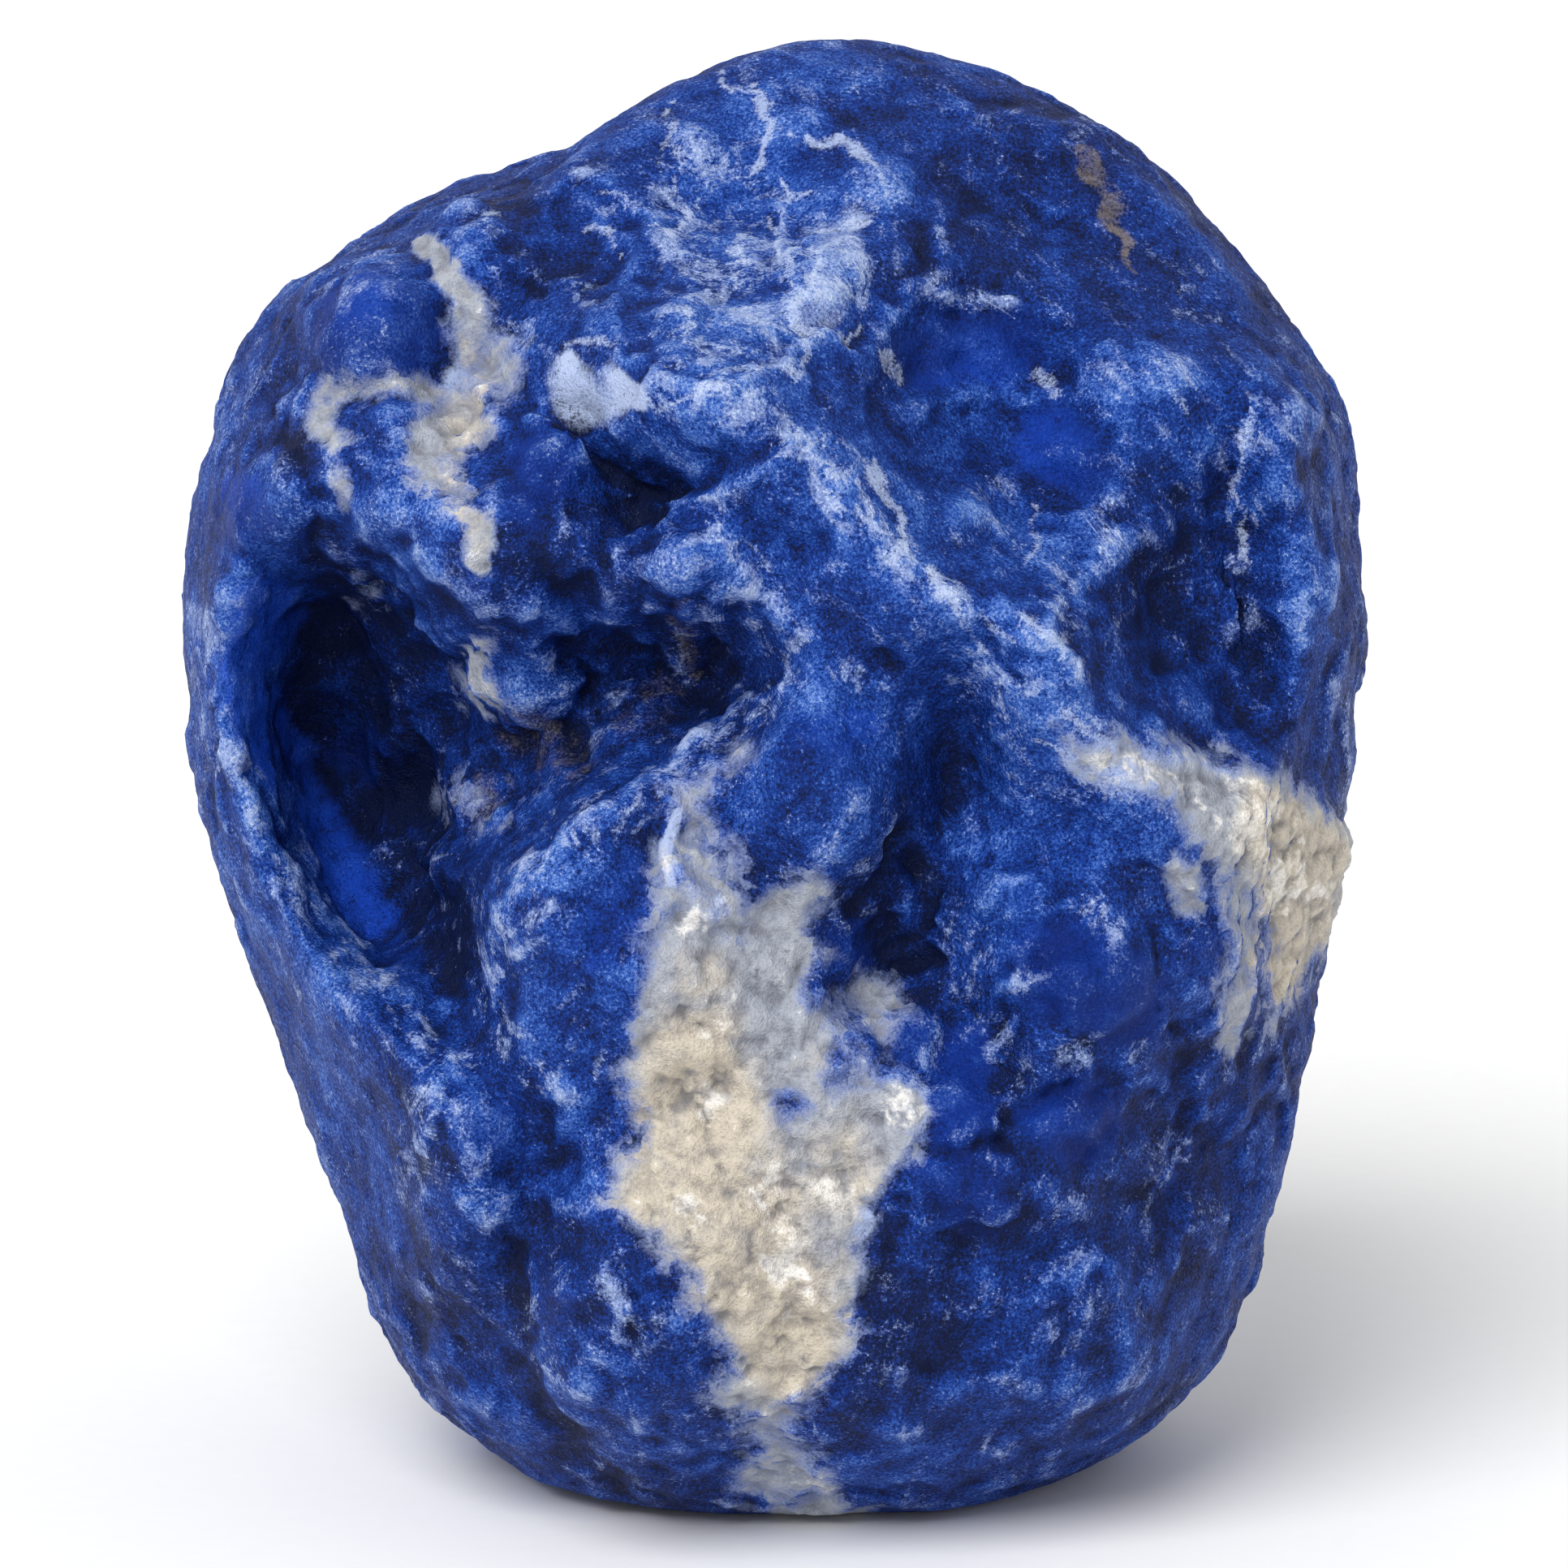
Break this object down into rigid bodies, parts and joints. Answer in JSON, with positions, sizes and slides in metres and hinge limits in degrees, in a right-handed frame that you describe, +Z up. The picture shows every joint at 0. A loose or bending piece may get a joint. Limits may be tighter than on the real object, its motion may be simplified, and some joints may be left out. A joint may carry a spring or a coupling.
{
  "type": "rough sodalite stone",
  "caption": "Rough blue sodalite cobble with white calcite veins, a deep hollow in its broad face and a small flat resting spot.",
  "frame": {"origin": "centre of the bounding box's bottom, on the surface that the stone rests on", "axes": "+Z up through the crown, the longest way; the broad face with the hollow looks along -Y; +X to the right of someone who faces it"},
  "size_m": [0.05, 0.0472, 0.0604],
  "materials": {
    "sodalite": "satin"
  },
  "bodies": {
    "root": {"sodalite_stone": "sodalite"}
  },
  "joints": []
}
